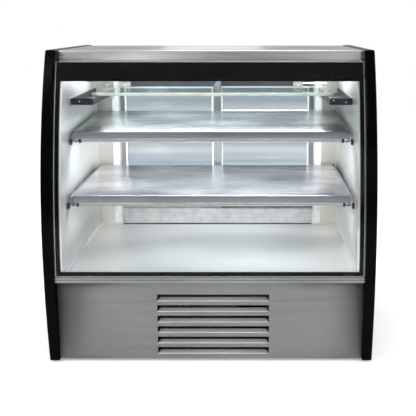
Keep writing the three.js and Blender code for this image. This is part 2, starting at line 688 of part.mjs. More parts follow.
// ---------------------------------------------------------------- shelves and lights
function shelf(level) {
  const { front, rear, frontZ, rearZ } = SHELVES[level];
  const slope = (rearZ - frontZ) / (rear - front);
  const surface = (y) => frontZ + slope * (y - front);
  const LIP_RETURN = 10;
  const section = outline([
    [front, frontZ - 1], [front + 1, frontZ],
    [rear, rearZ], [rear, rearZ - 14], [rear - SHELF_T, rearZ - 14],
    [rear - SHELF_T, surface(rear - SHELF_T) - SHELF_T],
    [front + SHELF_T, surface(front + SHELF_T) - SHELF_T],
    [front + SHELF_T, frontZ - SHELF_LIP + SHELF_T],
    [front + LIP_RETURN, frontZ - SHELF_LIP + SHELF_T],
    [front + LIP_RETURN, frontZ - SHELF_LIP],
    [front, frontZ - SHELF_LIP],
  ]);
  add(`${level}_shelf`, prism("x", section, -SHELF_X, SHELF_X), BRUSHED);

  // Offset bracket: arm beside the shelf end, lip under the shelf, rear plate hooked on the standard.
  bothSides((name, side) => {
    const NOSE = 6;
    const PLATE_T = 8;
    const CARRIER_W = 12;
    const CARRIER_T = 2.6;
    const HOOK_HALF = 6;
    const armX0 = SHELF_X + 1;
    const armX1 = armX0 + BRACKET_T;
    const plateY = rear + 4;
    const armEnd = plateY + PLATE_T;
    const arm = outline([
      [front - 3, surface(front) - 4],
      [front + NOSE, surface(front) + 1],
      [armEnd, surface(armEnd) + 1],
      [armEnd, surface(armEnd) - 62],
      [rear - 90, surface(rear) - 58],
      [front + NOSE, surface(front) - 40],
      [front - 3, surface(front) - 34],
    ]);
    const under = (y) => surface(y) - SHELF_T - GAP;
    const carrierFront = front + 40;
    const carrierRear = rear - 20;
    const carrier = outline([
      [carrierFront, under(carrierFront)],
      [carrierRear, under(carrierRear)],
      [carrierRear, under(carrierRear) - CARRIER_T],
      [carrierFront, under(carrierFront) - CARRIER_T],
    ]);
    const hookX = [STANDARD_X - HOOK_HALF, STANDARD_X + HOOK_HALF];
    const rearPlate = sideBox(side, hookX[0], armX1, plateY, armEnd, rearZ - 58, rearZ - 16);
    const standardFront = PILASTER_Y - 6 - GAP;
    const tongue = sideBox(side, ...hookX, plateY + 4, standardFront, rearZ - 56, rearZ - 18);
    add(`${level}_${name}_bracket`, union(
      sidePrism("x", arm, side, armX0, armX1),
      sidePrism("x", carrier, side, armX0 - CARRIER_W, armX0 + 1),
      rearPlate,
      tongue,
    ), GREY_PAINT);
  });

  const BAR_IN = 12;
  const barX = SHELF_X - BAR_IN;
  const barZ = frontZ - SHELF_LIP - GAP;
  const bar = outline([
    [front + 4, barZ],
    [front + 28, barZ],
    [front + 28, barZ - 9],
    [front + 22, barZ - 15],
    [front + 9, barZ - 15],
    [front + 4, barZ - 10],
  ]);
  add(`${level}_light_bar`, prism("x", bar, -barX, barX), DIFFUSER);
}

// Glass shelf under the canopy, resting on the inner walls of trough brackets on the side walls.
function topShelf() {
  const { x, front, rear, z, thick } = TOP_SHELF;
  const CHAMFER = 2;
  const glass = outline([
    [front, z + CHAMFER],
    [front + CHAMFER, z],
    [rear, z],
    [rear, z + thick],
    [front + CHAMFER, z + thick],
    [front, z + thick - CHAMFER],
  ]);
  add("top_glass_shelf", prism("x", glass, -x, x), CLEAR_GLASS);

  const WALL = 3;
  const INNER_X = 450;
  const outerX = LINER_X - GAP;
  const bracketFront = -145;
  const bracketRear = 306;
  const bottom = z - 26;
  const troughX = [INNER_X + WALL, outerX - WALL];
  const troughY = [bracketFront + WALL, bracketRear + 5];
  bothSides((name, side) => {
    const block = sideBox(side, INNER_X, outerX, bracketFront, bracketRear, bottom, z - GAP);
    const trough = sideBox(side, ...troughX, ...troughY, bottom + WALL, z + 9);
    add(`${name}_top_bracket`, cut(block, trough), DARK_GREY);
  });
}

// ---------------------------------------------------------------- controls on the rear header
function controls() {
  const FACE = REAR - 6;
  const BEZEL_HALF = 43;
  const backX = [THERMOSTAT_X - THERMOSTAT_HALF + GAP, THERMOSTAT_X + THERMOSTAT_HALF - GAP];
  const backZ = [CONTROL_Z - 16 + GAP, CONTROL_Z + 16 - GAP];
  const bezelX = [THERMOSTAT_X - BEZEL_HALF, THERMOSTAT_X + BEZEL_HALF];
  const bezel = box(...bezelX, FACE + GAP, FACE + 3, CONTROL_Z - 20, CONTROL_Z + 20);
  const back = box(...backX, FACE - 50, FACE + 1, ...backZ);

  const BUTTON_X = THERMOSTAT_X + 26;
  const BUTTON_HALF = 5;
  const hole = BUTTON_HALF + 1;
  const holeZ = [CONTROL_Z - hole, CONTROL_Z + hole];
  const buttonHole = box(BUTTON_X - hole, BUTTON_X + hole, FACE - 4, REAR + 5, ...holeZ);
  add("thermostat", cut(union(bezel, back), buttonHole), BLACK_PLASTIC);
  const buttonX = [BUTTON_X - BUTTON_HALF, BUTTON_X + BUTTON_HALF];
  const buttonZ = [CONTROL_Z - BUTTON_HALF, CONTROL_Z + BUTTON_HALF];
  add("thermostat_button", box(...buttonX, FACE - 1.6, FACE + 4.2, ...buttonZ), DARK_GREY);

  const ROCKER_HALF = 11;
  const rocker = outline([
    [FACE - 14, CONTROL_Z - 8],
    [FACE - 1, CONTROL_Z - 10],
    [FACE + 4, CONTROL_Z - 9],
    [FACE + 1.5, CONTROL_Z],
    [FACE + 3, CONTROL_Z + 9],
    [FACE - 1, CONTROL_Z + 10],
    [FACE - 14, CONTROL_Z + 8],
  ]);
  for (const [name, x] of [["power_switch", POWER_SWITCH_X], ["light_switch", LIGHT_SWITCH_X]]) {
    add(name, prism("x", rocker, x - ROCKER_HALF, x + ROCKER_HALF), BLACK_PLASTIC);
  }
}

function powerInlet() {
  const FLANGE = 6;
  const SOCKET_WALL = 4;
  const { half, z0, z1 } = INLET;
  const wide = half + FLANGE;
  const narrow = half - SOCKET_WALL;
  const body = box(INLET_X - half, INLET_X + half, REAR - 36, REAR - 2, z0, z1);
  const flange = box(INLET_X - wide, INLET_X + wide, REAR - 3 + GAP, REAR - 1, z0 - 5, z1 + 5);
  const socketZ = [z0 + SOCKET_WALL, z1 - SOCKET_WALL];
  const socket = box(INLET_X - narrow, INLET_X + narrow, REAR - 20, REAR + 5, ...socketZ);
  add("power_inlet", cut(union(body, flange), socket), BLACK_PLASTIC);
}

endFrames();
sideLiners();
canopy();
frontGlass();
frontSill();
basePanel();
baseTray();
rearServicePanel();
deckPan();
coldWell();
evaporator();
drainTray();
compressor();
condenser();
suctionPipe();
rearPosts();
doorTracks();
rearHeader();
slidingDoor("left", -DOOR_EDGE_X, DOOR_OVERLAP, FRONT_DOOR_Y);
slidingDoor("right", -DOOR_OVERLAP, DOOR_EDGE_X, REAR_DOOR_Y);
shelf("upper");
shelf("lower");
topShelf();
controls();
powerInlet();

export default model;
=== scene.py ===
"""Looks of a refrigerated display showcase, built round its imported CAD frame.

Metres, +Z up, front towards -Y.
"""
import math

import bmesh
import bpy
from mathutils import Matrix, Vector


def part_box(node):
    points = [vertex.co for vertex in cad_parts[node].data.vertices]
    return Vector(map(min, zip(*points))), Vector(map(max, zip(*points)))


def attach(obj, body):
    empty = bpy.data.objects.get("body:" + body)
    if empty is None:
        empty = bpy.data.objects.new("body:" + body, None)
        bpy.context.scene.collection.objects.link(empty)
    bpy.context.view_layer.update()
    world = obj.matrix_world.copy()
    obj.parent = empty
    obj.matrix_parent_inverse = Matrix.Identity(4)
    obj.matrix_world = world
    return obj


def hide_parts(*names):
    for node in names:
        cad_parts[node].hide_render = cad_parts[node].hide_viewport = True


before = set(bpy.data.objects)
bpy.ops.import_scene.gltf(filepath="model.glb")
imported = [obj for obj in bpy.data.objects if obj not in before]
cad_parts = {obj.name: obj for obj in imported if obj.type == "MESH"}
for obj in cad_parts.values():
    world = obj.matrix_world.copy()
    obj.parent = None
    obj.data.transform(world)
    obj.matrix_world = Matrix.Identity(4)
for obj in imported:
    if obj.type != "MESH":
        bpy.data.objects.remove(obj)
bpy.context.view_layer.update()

MM = 0.001
SIDES = (("left", -1), ("right", 1))

# ---------------------------------------------------------------- driving sizes
BULGE_Z = 0.440                 # foremost height of the end frames
FRAME_TOP_Y = -0.240            # front edge of an end frame at its top
FRAME_FOOT_Y = -0.364           # and at its foot
GLASS_RADIUS = 2.4              # outer face of the front glass
GLASS_FOOT = (-0.384, 0.339)    # outer face at the lower edge, as (y, z)
GLASS_HEAD = (-0.250, 1.106)    # outer face at the upper edge
GLASS_THICK = 6 * MM
BORDER_WIDE = 16 * MM           # black print at the sides and bottom of the front glass
BORDER_THICK = 1.6 * MM
BORDER_TOP_Z = 1.038            # lower edge of its black header band
EDGE_WIDE = 0.8 * MM            # clear polished edge outside the print
DOOR_STILE = 34 * MM
DOOR_TOP_RAIL = 56 * MM
DOOR_BOTTOM_RAIL = 46 * MM
SHEET = 2 * MM                  # steel sheet of shelves and top
SHELF_LIP = 28 * MM             # height of a steel shelf's front edge
SHARP = math.radians(32)        # a corner sharper than this is an edge

# ---------------------------------------------------------------- camera, floor and lights
CAMERA_PLACE = (0.1418, -2.9234, 1.2453)
CAMERA_PITCH = 9.6              # degrees below level
CAMERA_LENS = 63.39             # mm, on a 36 mm sensor
CAMERA_SHIFT = (-0.0983, -0.146)
FLOOR_HALF = 7                  # half the side of the floor
FLOOR_GAP = 0.5 * MM            # keeps the floor clear of the glides
WHITE = (1, 1, 1, 1)
COOL = (0.93, 0.97, 1.0)        # colour of the cabinet's own lamps


def make_camera():
    """The photographer's place: a little right of the middle, at about the cabinet's height."""
    data = bpy.data.cameras.new("camera")
    data.lens = CAMERA_LENS
    data.shift_x, data.shift_y = CAMERA_SHIFT
    camera = bpy.data.objects.new("camera", data)
    camera.location = CAMERA_PLACE
    camera.rotation_euler = (math.radians(90 - CAMERA_PITCH), 0, 0)
    bpy.context.scene.collection.objects.link(camera)
    bpy.context.scene.camera = camera


def area_light(name, place, aim, size, power, colour=(1, 1, 1)):
    """A soft rectangular light at place, facing aim."""
    data = bpy.data.lights.new(name, "AREA")
    data.shape = "RECTANGLE"
    data.size, data.size_y = size
    data.energy = power
    data.color = colour
    light = bpy.data.objects.new(name, data)
    light.location = place
    light.rotation_euler = (Vector(aim) - Vector(place)).to_track_quat("-Z", "Y").to_euler()
    bpy.context.scene.collection.objects.link(light)


def sky_colour(nodes, links):
    """Grey from below to nearly white above, and a little whiter behind the cabinet."""
    split = nodes.new("ShaderNodeSeparateXYZ")
    links.new(nodes.new("ShaderNodeTexCoord").outputs["Generated"], split.inputs[0])
    height = nodes.new("ShaderNodeMapRange")
    height.inputs["From Min"].default_value = -1.0
    links.new(split.outputs["Z"], height.inputs["Value"])
    ramp = nodes.new("ShaderNodeValToRGB")
    ramp.color_ramp.elements[0].color = (0.10, 0.10, 0.105, 1)
    ramp.color_ramp.elements[1].color = (0.95, 0.95, 0.97, 1)
    horizon = ramp.color_ramp.elements.new(0.5)
    horizon.color = (0.22, 0.22, 0.225, 1)
    above = ramp.color_ramp.elements.new(0.62)
    above.color = (0.50, 0.50, 0.51, 1)
    links.new(height.outputs["Result"], ramp.inputs["Fac"])
    behind = nodes.new("ShaderNodeMapRange")
    behind.inputs["From Max"].default_value = 0.9
    behind.inputs["To Max"].default_value = 0.15
    links.new(split.outputs["Y"], behind.inputs["Value"])
    total = nodes.new("ShaderNodeMix")
    total.data_type = "RGBA"
    first_colour, second_colour, mixed_colour = 6, 7, 2
    links.new(behind.outputs["Result"], total.inputs["Factor"])
    links.new(ramp.outputs["Color"], total.inputs[first_colour])
    total.inputs[second_colour].default_value = WHITE
    return total.outputs[mixed_colour]


def make_world():
    """White backdrop for the camera, and the softer sky for lighting and reflections."""
    world = bpy.data.worlds.new("studio")
    bpy.context.scene.world = world
    world.use_nodes = True
    nodes, links = world.node_tree.nodes, world.node_tree.links
    sky = nodes["Background"]
    sky.inputs["Strength"].default_value = 1.0
    links.new(sky_colour(nodes, links), sky.inputs["Color"])
    backdrop = nodes.new("ShaderNodeBackground")
    backdrop.inputs["Color"].default_value = WHITE
    mix = nodes.new("ShaderNodeMixShader")
    links.new(nodes.new("ShaderNodeLightPath").outputs["Is Camera Ray"], mix.inputs["Fac"])
    links.new(sky.outputs[0], mix.inputs[1])
    links.new(backdrop.outputs[0], mix.inputs[2])
    links.new(mix.outputs[0], nodes["World Output"].inputs["Surface"])


def make_floor():
    """A wide pale floor."""
    bm = bmesh.new()
    bmesh.ops.create_grid(bm, x_segments=1, y_segments=1, size=FLOOR_HALF)
    mesh = bpy.data.meshes.new("floor")
    bm.to_mesh(mesh)
    bm.free()
    floor = bpy.data.objects.new("floor", mesh)
    floor.location.z = -FLOOR_GAP
    mesh.materials.append(floor_material())
    bpy.context.scene.collection.objects.link(floor)


def studio_lights():
    """Soft boxes round the cabinet, and two strips that give the end frames their highlights."""
    middle = (0, 0, 0.6)
    area_light("key_light", (-2.6, -2.5, 2.9), middle, size=(2.4, 1.8), power=70)
    area_light("fill_light", (2.6, -2.3, 1.9), middle, size=(1.6, 2.2), power=34)
    area_light("top_light", (0.1, 0.1, 3.2), (0.1, 0, 1), size=(1.2, 1.2), power=26)
    area_light("rear_light", (-0.15, 3.0, 1.9), middle, size=(0.8, 1.4), power=2.5)
    area_light("left_strip", (-0.72, -3.3, 1.05), (-0.26, -0.2, 1.13), size=(0.20, 0.9), power=3.0)
    area_light("right_strip", (0.95, -3.3, 1.05), (0.44, -0.2, 1.13), size=(0.5, 0.9), power=1.4)


def cabinet_lights():
    """Light of the lamps under the canopy and under the fronts of both steel shelves."""
    area_light("canopy_glow", (0, 0.06, 1.030), (0, 0.02, 0.5), (1.06, 0.26), power=9.5, colour=COOL)
    area_light("upper_glow", (0, -0.166, 0.792), (0, -0.02, 0.5), (0.94, 0.03), power=10.5, colour=COOL)
    area_light("lower_glow", (0, -0.236, 0.562), (0, -0.06, 0.3), (0.98, 0.03), power=4.5, colour=COOL)


# ---------------------------------------------------------------- materials
class Paint:
    """Node-based material: a Principled shader with helpers for noise, colour, roughness and bump."""

    def __init__(self, name):
        self.material = bpy.data.materials.new(name)
        self.material.use_nodes = True
        self.nodes = self.material.node_tree.nodes
        self.links = self.material.node_tree.links
        self.shader = self.nodes["Principled BSDF"]
        self.coordinates = self.nodes.new("ShaderNodeTexCoord").outputs["Object"]

    def set(self, **sockets):
        """Sets plain values of the shader."""
        for name, value in sockets.items():
            self.shader.inputs[name.replace("_", " ")].default_value = value
        return self

    def noise(self, scale, stretch=(1, 1, 1), detail=4.0, wander=0.0):
        """Noise from 0 to 1, finer along the axes with a larger stretch."""
        mapping = self.nodes.new("ShaderNodeMapping")
        mapping.inputs["Scale"].default_value = stretch
        self.links.new(self.coordinates, mapping.inputs["Vector"])
        noise = self.nodes.new("ShaderNodeTexNoise")
        noise.inputs["Scale"].default_value = scale
        noise.inputs["Detail"].default_value = detail
        noise.inputs["Distortion"].default_value = wander
        self.links.new(mapping.outputs["Vector"], noise.inputs["Vector"])
        return noise.outputs["Fac"]

    def ramp(self, source, dark, light, low, high):
        """Blend of two colours, where source runs from low to high."""
        ramp = self.nodes.new("ShaderNodeValToRGB")
        ramp.color_ramp.elements[0].position = low
        ramp.color_ramp.elements[1].position = high
        ramp.color_ramp.elements[0].color = (*dark, 1)
        ramp.color_ramp.elements[1].color = (*light, 1)
        self.links.new(source, ramp.inputs["Fac"])
        return ramp.outputs["Color"]

    def span(self, source, start, end, low=0.0, high=1.0):
        """Value from start to end, where source runs from low to high."""
        span = self.nodes.new("ShaderNodeMapRange")
        span.inputs["From Min"].default_value = low
        span.inputs["From Max"].default_value = high
        span.inputs["To Min"].default_value = start
        span.inputs["To Max"].default_value = end
        self.links.new(source, span.inputs["Value"])
        return span.outputs["Result"]

    def colour(self, source, dark, light, low=0.35, high=0.65):
        """Drives the base colour."""
        self.links.new(self.ramp(source, dark, light, low, high), self.shader.inputs["Base Color"])
        return self

    def roughness(self, source, smooth, rough, low=0.3, high=0.7):
        """Drives the roughness."""
        self.links.new(self.span(source, smooth, rough, low, high), self.shader.inputs["Roughness"])
        return self

    def bump(self, source, strength, distance):
        """Adds a bump on top of those that are there already."""
        bump = self.nodes.new("ShaderNodeBump")
        bump.inputs["Strength"].default_value = strength
        bump.inputs["Distance"].default_value = distance
        self.links.new(source, bump.inputs["Height"])
        previous = self.shader.inputs["Normal"].links
        if previous:
            self.links.new(previous[0].from_socket, bump.inputs["Normal"])
        self.links.new(bump.outputs["Normal"], self.shader.inputs["Normal"])
        return self


def floor_material():
    """Pale matt floor that glows a little, so that it stays near white."""
    paint = Paint("floor_white").set(Specular_IOR_Level=0.1)
    tone = paint.noise(scale=3)
    paint.colour(tone, dark=(0.93, 0.93, 0.93), light=(0.96, 0.96, 0.96))
    paint.roughness(tone, smooth=0.75, rough=0.85)
    return paint.set(Emission_Color=WHITE, Emission_Strength=0.32).material


def gloss_black():
    """Glossy black coating of the end frames, with faint orange peel."""
    paint = Paint("gloss_black").set(Specular_IOR_Level=0.03)
    tone = paint.noise(scale=9)
    paint.colour(tone, dark=(0.0004, 0.0004, 0.0005), light=(0.0012, 0.0012, 0.0013))
    paint.roughness(tone, smooth=0.10, rough=0.19)
    return paint.bump(paint.noise(scale=260), strength=0.05, distance=0.4 * MM).material


def printed_black():
    """Black print behind glass."""
    paint = Paint("printed_black").set(Specular_IOR_Level=0.08)
    tone = paint.noise(scale=5, wander=0.6)
    paint.colour(tone, dark=(0.0008, 0.0011, 0.0011), light=(0.0030, 0.0038, 0.0036))
    return paint.roughness(tone, smooth=0.06, rough=0.14).material


def brushed_steel(name, dark, light, smooth, rough, wave=0.0, metallic=1.0):
    """Stainless steel with a fine grain along X, slightly wavy where the sheet is thin."""
    paint = Paint(name).set(Metallic=metallic)
    grain = paint.noise(scale=1, stretch=(3, 900, 900), detail=6)
    cloud = paint.noise(scale=2.5, stretch=(1, 2, 2), detail=2)
    paint.colour(cloud, dark, light).roughness(grain, smooth, rough)
    if wave:
        swell = paint.noise(scale=2.6, stretch=(1, 1.4, 1), detail=2, wander=0.9)
        paint.bump(swell, strength=wave, distance=6 * MM)
    return paint.bump(grain, strength=0.10, distance=0.3 * MM).material


def liner_steel(name, dark, light, stretch, wander, wave):
    """Soft-polished liner sheet whose colour cloud is painted faint long reflections, with a slight wave
    from forming.
    """
    paint = Paint(name).set(Metallic=0.78, Specular_IOR_Level=0.6)
    cloud = paint.noise(scale=1, stretch=stretch, detail=0, wander=wander)
    paint.colour(cloud, dark, light, low=0.1, high=0.9)
    paint.roughness(cloud, smooth=0.28, rough=0.35, low=0.1, high=0.9)
    return paint.bump(paint.noise(scale=1.3, detail=0), strength=wave, distance=10 * MM).material


def panel_grey():
    """Satin grey coating of the base panel, with a fine horizontal grain."""
    paint = Paint("panel_grey").set(Metallic=0.2, Specular_IOR_Level=0.4)
    cloud = paint.noise(scale=1.8, stretch=(1, 1, 1.4), detail=3, wander=0.4)
    grain = paint.noise(scale=1, stretch=(12, 600, 600))
    paint.colour(cloud, dark=(0.150, 0.149, 0.148), light=(0.188, 0.187, 0.186))
    paint.roughness(cloud, smooth=0.34, rough=0.44)
    return paint.bump(grain, strength=0.05, distance=0.3 * MM).material


def dark_paint():
    """Dark grey powder coat; on the base tray and the condenser fan shroud its near-black is painted shade.
    """
    paint = Paint("dark_grey_coat_and_shade").set(Specular_IOR_Level=0.25)
    tone = paint.noise(scale=14)
    paint.colour(tone, dark=(0.011, 0.013, 0.016), light=(0.020, 0.023, 0.027))
    paint.roughness(tone, smooth=0.38, rough=0.52)
    return paint.bump(paint.noise(scale=900), strength=0.15, distance=0.3 * MM).material


def bracket_grey():
    """Mid grey coated steel of the shelf brackets and door frames."""
    paint = Paint("bracket_grey").set(Metallic=0.6)
    tone = paint.noise(scale=11, stretch=(1, 1, 0.5))
    paint.colour(tone, dark=(0.15, 0.153, 0.158), light=(0.24, 0.244, 0.25))
    paint.roughness(tone, smooth=0.30, rough=0.42)
    return paint.bump(paint.noise(scale=700), strength=0.06, distance=0.3 * MM).material


def white_coat():
    """White painted sheet."""
    paint = Paint("white_coat")
    tone = paint.noise(scale=6)
    paint.colour(tone, dark=(0.72, 0.73, 0.74), light=(0.80, 0.81, 0.82))
    paint.roughness(tone, smooth=0.30, rough=0.42)
    return paint.bump(paint.noise(scale=500), strength=0.05, distance=0.3 * MM).material


def lamp_plastic():
    """Aged cream plastic of lamp holders."""
    paint = Paint("lamp_plastic").set(Subsurface_Weight=0.05)
    tone = paint.noise(scale=30)
    paint.colour(tone, dark=(0.34, 0.33, 0.29), light=(0.42, 0.41, 0.36))
    return paint.roughness(tone, smooth=0.38, rough=0.5).material


def mirror_share(paint, straight_on, edge_on):
    """How much of a pane mirrors: little when it is seen straight on, more at low angles."""
    steepness = 4.5
    slant = paint.nodes.new("ShaderNodeLayerWeight")
    steep = paint.nodes.new("ShaderNodeMath")
    steep.operation = "POWER"
    steep.inputs[1].default_value = steepness
    paint.links.new(slant.outputs["Facing"], steep.inputs[0])
    return paint.span(steep.outputs[0], straight_on, edge_on)


def glass(name, tint, straight_on, edge_on, wave=0.0, reflection_streaks=None):
    """Clear pane: light passes through its tint, which may carry painted horizontal reflections, under a
    thin mirror layer.
    """
    paint = Paint(name).set(Metallic=1.0)
    smear = paint.noise(scale=2, stretch=(1, 1, 2.5), detail=5, wander=1.2)
    paint.colour(smear, dark=(0.80, 0.82, 0.83), light=(0.95, 0.96, 0.97))
    paint.roughness(smear, smooth=0.015, rough=0.07)
    if wave:
        paint.bump(paint.noise(scale=1.6), strength=wave, distance=10 * MM)
    clear = paint.nodes.new("ShaderNodeBsdfTransparent")
    clear.inputs["Color"].default_value = (*tint, 1)
    # Horizontal streaks of lighter tint: painted reflections.
    if reflection_streaks:
        level = paint.noise(scale=1, stretch=(0.3, 1, 16), detail=1)
        paint.links.new(paint.ramp(level, tint, reflection_streaks, 0.42, 0.62), clear.inputs["Color"])
    mix = paint.nodes.new("ShaderNodeMixShader")
    paint.links.new(mirror_share(paint, straight_on, edge_on), mix.inputs["Fac"])
    paint.links.new(clear.outputs[0], mix.inputs[1])
    paint.links.new(paint.shader.outputs[0], mix.inputs[2])
    paint.links.new(mix.outputs[0], paint.nodes["Material Output"].inputs["Surface"])
    return paint.material


def glass_edge():
    """Ground and polished edge of a pane, pale green."""
    paint = Paint("glass_edge")
    tone = paint.noise(scale=20, stretch=(1, 8, 8))
    paint.colour(tone, dark=(0.62, 0.67, 0.57), light=(0.76, 0.80, 0.70))
    return paint.roughness(tone, smooth=0.18, rough=0.34).material


def diffuser(name, dark, light, glow):
    """Frosted lamp cover, lit or dim."""
    paint = Paint(name).set(Emission_Color=(0.95, 0.98, 0.94, 1), Emission_Strength=glow)
    tone = paint.noise(scale=40)
    return paint.colour(tone, dark, light).roughness(tone, smooth=0.40, rough=0.55).material


def aluminium():
    """Satin extruded aluminium with die lines along X."""
    paint = Paint("satin_aluminium").set(Metallic=1.0)
    lines = paint.noise(scale=1, stretch=(2, 700, 700))
    paint.colour(paint.noise(scale=8), dark=(0.60, 0.61, 0.62), light=(0.70, 0.71, 0.72))
    paint.roughness(lines, smooth=0.28, rough=0.42)
    return paint.bump(lines, strength=0.08, distance=0.2 * MM).material


def bare_metal(name, dark, light, smooth, rough):
    """Drawn metal, blotchy with handling."""
    paint = Paint(name).set(Metallic=1.0)
    tone = paint.noise(scale=25, detail=6)
    paint.colour(tone, dark, light).roughness(tone, smooth, rough)
    return paint.bump(paint.noise(scale=400), strength=0.05, distance=0.2 * MM).material


def moulded(name, dark, light, smooth, rough):
    """Moulded plastic or cast coating with a fine grain."""
    paint = Paint(name)
    tone = paint.noise(scale=18)
    paint.colour(tone, dark, light).roughness(tone, smooth, rough)
    return paint.bump(paint.noise(scale=1200), strength=0.2, distance=0.2 * MM).material


LOOK = {
    "gloss_black": gloss_black(),
    "printed_black": printed_black(),
    "steel": brushed_steel(
        "brushed_steel", dark=(0.40, 0.40, 0.405), light=(0.56, 0.56, 0.565), smooth=0.22, rough=0.36),
    "shelf_steel": brushed_steel(
        "shelf_steel", dark=(0.24, 0.24, 0.26), light=(0.58, 0.58, 0.60), smooth=0.20, rough=0.32,
        wave=0.12, metallic=0.9),
    # Darker copy of the shelf steel for faces that look forward: painted shade.
    "shaded_lip_steel": brushed_steel(
        "shaded_lip_steel", dark=(0.17, 0.178, 0.182), light=(0.22, 0.23, 0.235), smooth=0.26, rough=0.40),
    # Lighter copy of the base panel's sheet for the vanes: painted light on their upturned faces.
    "vane_painted_light": brushed_steel(
        "vane_painted_light_steel", dark=(0.62, 0.62, 0.60), light=(0.74, 0.74, 0.72), smooth=0.30, rough=0.42,
        metallic=0.5),
    "liner": liner_steel(
        "liner_steel", dark=(0.36, 0.37, 0.37), light=(0.95, 0.95, 0.93), stretch=(1, 1.4, 7),
        wander=0.2, wave=0.12),
    "deck": liner_steel(
        "deck_steel", dark=(0.45, 0.46, 0.45), light=(0.98, 0.99, 0.97), stretch=(1.8, 4.2, 1),
        wander=0.3, wave=0.03),
    # The pilasters' warm cream colour is a painted reflection.
    "pilaster": liner_steel(
        "pilaster_steel", dark=(0.52, 0.48, 0.42), light=(0.68, 0.65, 0.60), stretch=(5, 5, 1.2),
        wander=0.2, wave=0.15),
    # Condenser coil and fan kept near black so that the louvre slits behind read dark: painted shade.
    "fins": bare_metal(
        "shade_dark_fins", dark=(0.04, 0.04, 0.043), light=(0.07, 0.07, 0.074), smooth=0.5, rough=0.65),
    "track": bare_metal(
        "track_metal", dark=(0.34, 0.34, 0.34), light=(0.44, 0.44, 0.44), smooth=0.30, rough=0.42),
    "copper": bare_metal(
        "drawn_copper", dark=(0.52, 0.26, 0.15), light=(0.72, 0.40, 0.26), smooth=0.22, rough=0.40),
    "screw": bare_metal(
        "zinc_screw", dark=(0.55, 0.55, 0.54), light=(0.75, 0.75, 0.74), smooth=0.22, rough=0.36),
    "aluminium": aluminium(),
    "panel_grey": panel_grey(),
    "dark": dark_paint(),
    "bracket": bracket_grey(),
    "white": white_coat(),
    "cream": lamp_plastic(),
    # Very dark bluish look of the top door rails and the upper door track.
    "dark_rail": moulded(
        "dark_rail", dark=(0.020, 0.025, 0.036), light=(0.034, 0.040, 0.052), smooth=0.3, rough=0.45),
    "black_plastic": moulded(
        "black_plastic", dark=(0.010, 0.010, 0.011), light=(0.022, 0.022, 0.024), smooth=0.35, rough=0.5),
    "pump_black": moulded(
        "pump_black", dark=(0.012, 0.012, 0.014), light=(0.030, 0.031, 0.034), smooth=0.30, rough=0.5),
    "front_glass": glass(
        "front_glass_clear", tint=(0.985, 0.99, 0.99), straight_on=0.003, edge_on=0.45),
    "door_glass": glass(
        "door_glass_tinted", tint=(0.60, 0.66, 0.70), straight_on=0.045, edge_on=0.6, wave=0.04,
        reflection_streaks=(0.76, 0.79, 0.79)),
    "shelf_glass": glass(
        "shelf_glass_clear", tint=(0.92, 0.96, 0.94), straight_on=0.012, edge_on=0.4),
    "glass_edge": glass_edge(),
    "diffuser": diffuser("lit_diffuser", dark=(0.80, 0.82, 0.78), light=(0.88, 0.89, 0.86), glow=0.5),
    "dim_diffuser": diffuser("dim_diffuser", dark=(0.26, 0.28, 0.26), light=(0.34, 0.36, 0.33), glow=0.03),
}


# ---------------------------------------------------------------- mesh helpers
def steps_between(low, high, count):
    """Evenly spaced values from low to high."""
    return [low + (high - low) * i / count for i in range(count + 1)]


def prism(bm, points, axis, low, high, index=0):
    """Adds a closed prism that runs from low to high along its axis.

    The points lie across that axis, as (y, z), (x, z) or (x, y).
    """
    order = {"x": (2, 0, 1), "y": (0, 2, 1), "z": (0, 1, 2)}[axis]
    rings = []
    for reach in (low, high):
        spots = [(a, b, reach) for a, b in points]
        rings.append([bm.verts.new([spot[i] for i in order]) for spot in spots])
    faces = [bm.faces.new(rings[0]), bm.faces.new(rings[1][::-1])]
    for i in range(len(points)):
        faces.append(bm.faces.new((rings[0][i], rings[0][i - 1], rings[1][i - 1], rings[1][i])))
    for face in faces:
        face.material_index = index
    return faces


def block(bm, low, high):
    """Adds a box between two corners."""
    corners = [(low[0], low[1]), (high[0], low[1]), (high[0], high[1]), (low[0], high[1])]
    prism(bm, corners, "z", low[2], high[2])


def rounded(path, radius, steps=5):
    """An open path of 2-D points with its corners turned into arcs."""
    path = [Vector(p) for p in path]
    result = [path[0]]
    for before, corner, after in zip(path, path[1:], path[2:]):
        a = (before - corner).normalized()
        b = (after - corner).normalized()
        half = a.angle(b) / 2
        centre = corner + (a + b).normalized() * (radius / math.sin(half))
        start = corner + a * (radius / math.tan(half)) - centre
        end = corner + b * (radius / math.tan(half)) - centre
        turn = math.copysign(math.pi - 2 * half, start.x * end.y - start.y * end.x)
        for i in range(steps + 1):
            result.append(centre + Matrix.Rotation(turn * i / steps, 2) @ start)
    result.append(path[-1])
    return result


def sheet_outline(path, thick, radius):
    """Closed outline of a folded sheet whose middle runs along the path."""
    line = rounded(path, radius)
    one_side, other_side = [], []
    for i, point in enumerate(line):
        along = (line[min(i + 1, len(line) - 1)] - line[max(i - 1, 0)]).normalized()
        across = Vector((-along.y, along.x)) * thick / 2
        one_side.append(point + across)
        other_side.append(point - across)
    return [tuple(p) for p in one_side + other_side[::-1]]


def half_round(middle, reach, top, fall, steps):
    """Underside of a lamp cover, as (y, z) points along a half ellipse that hangs from top."""
    angles = [math.pi * i / steps for i in range(steps + 1)]
    return [(middle - reach * math.cos(angle), top - fall * math.sin(angle)) for angle in angles]


